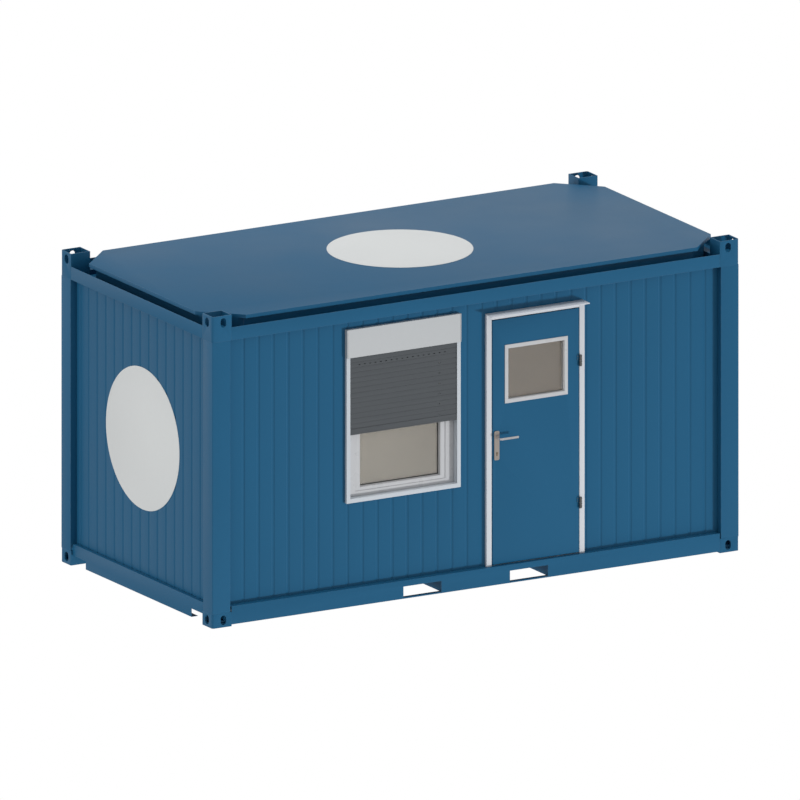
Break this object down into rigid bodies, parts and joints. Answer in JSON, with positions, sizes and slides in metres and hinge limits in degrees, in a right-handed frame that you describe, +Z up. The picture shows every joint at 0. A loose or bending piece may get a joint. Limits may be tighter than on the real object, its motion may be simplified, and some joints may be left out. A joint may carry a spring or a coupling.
{
  "type": "site office container cabin",
  "caption": "Blue steel site cabin with container corners, grooved insulated walls, a window with a roller shutter and an outward-opening door.",
  "frame": {"origin": "ground level, in the middle between the four bottom corner castings", "axes": "+X along the cabin's long side, from the window end to the door end; -Y towards the side with the door and window; +Z up"},
  "size_m": [4.885, 2.487, 2.591],
  "materials": {
    "frame_paint": "satin gentian blue paint on folded steel",
    "cladding_paint": "satin coil-coated blue sheet",
    "door_paint": "satin blue paint on a flat steel leaf",
    "roof_paint": "satin blue roof sheet",
    "white_trim": "satin white coated sheet",
    "white_plastic": "smooth white window plastic",
    "sign_white": "plain white film",
    "shutter_slats": "slate grey shutter slats",
    "glass": "clear double glazing",
    "zinc": "galvanised steel",
    "bare_aluminium": "mill aluminium",
    "hinge_steel": "zinc-plated steel",
    "handle_steel": "brushed stainless steel",
    "cylinder_brass": "worn brass",
    "lining": "pale laminated lining board",
    "floor_board": "grey vinyl floor"
  },
  "bodies": {
    "cabin": {"bottom_castings": "frame_paint", "top_blocks": "frame_paint", "corner_posts": "frame_paint", "floor_rail_front": "frame_paint", "floor_rail_back": "frame_paint", "end_sills": "frame_paint", "fork_tunnels": "frame_paint", "crossmembers": "zinc", "under_sheet": "zinc", "floor_deck": "floor_board", "roof_rail_front": "frame_paint", "roof_rail_back": "frame_paint", "roof_rails_end": "frame_paint", "ceiling": "lining", "roof_core": "frame_paint", "roof_skin": "roof_paint", "sign_discs": "sign_white", "wall_back": "cladding_paint", "wall_left": "cladding_paint", "wall_right": "cladding_paint", "wall_front_left": "cladding_paint", "wall_under_window": "cladding_paint", "wall_over_window": "cladding_paint", "wall_front_middle": "cladding_paint", "wall_over_door": "cladding_paint", "wall_front_right": "cladding_paint", "window_trim": "white_trim", "shutter_box": "white_trim", "shutter_curtain": "shutter_slats", "window_frame": "white_plastic", "window_sash": "white_plastic", "window_glass": "glass", "door_jambs": "white_trim", "door_head": "white_trim", "threshold": "bare_aluminium", "rain_cap": "white_trim", "frame_hinges": "hinge_steel"},
    "door": {"door_leaf": "door_paint", "leaf_hinges": "hinge_steel", "pane_frames": "white_plastic", "pane_glass": "glass", "lock_plates": "handle_steel", "lock_cylinder": "cylinder_brass"},
    "lever": {"outer_lever": "handle_steel", "inner_lever": "handle_steel"}
  },
  "joints": [
    {"name": "door_swing", "type": "hinge", "parent": "cabin", "child": "door", "pos_m": [0.9825, -1.1995, 1.18], "axis": [0, 0, 1], "range_deg": [0, 110]},
    {"name": "lever_turn", "type": "hinge", "parent": "door", "child": "lever", "pos_m": [0.2095, -1.1875, 1.23], "axis": [0, 1, 0], "range_deg": [0, 40], "stiffness_Nm_per_rad": 1.5, "springref_deg": -34.38}
  ]
}
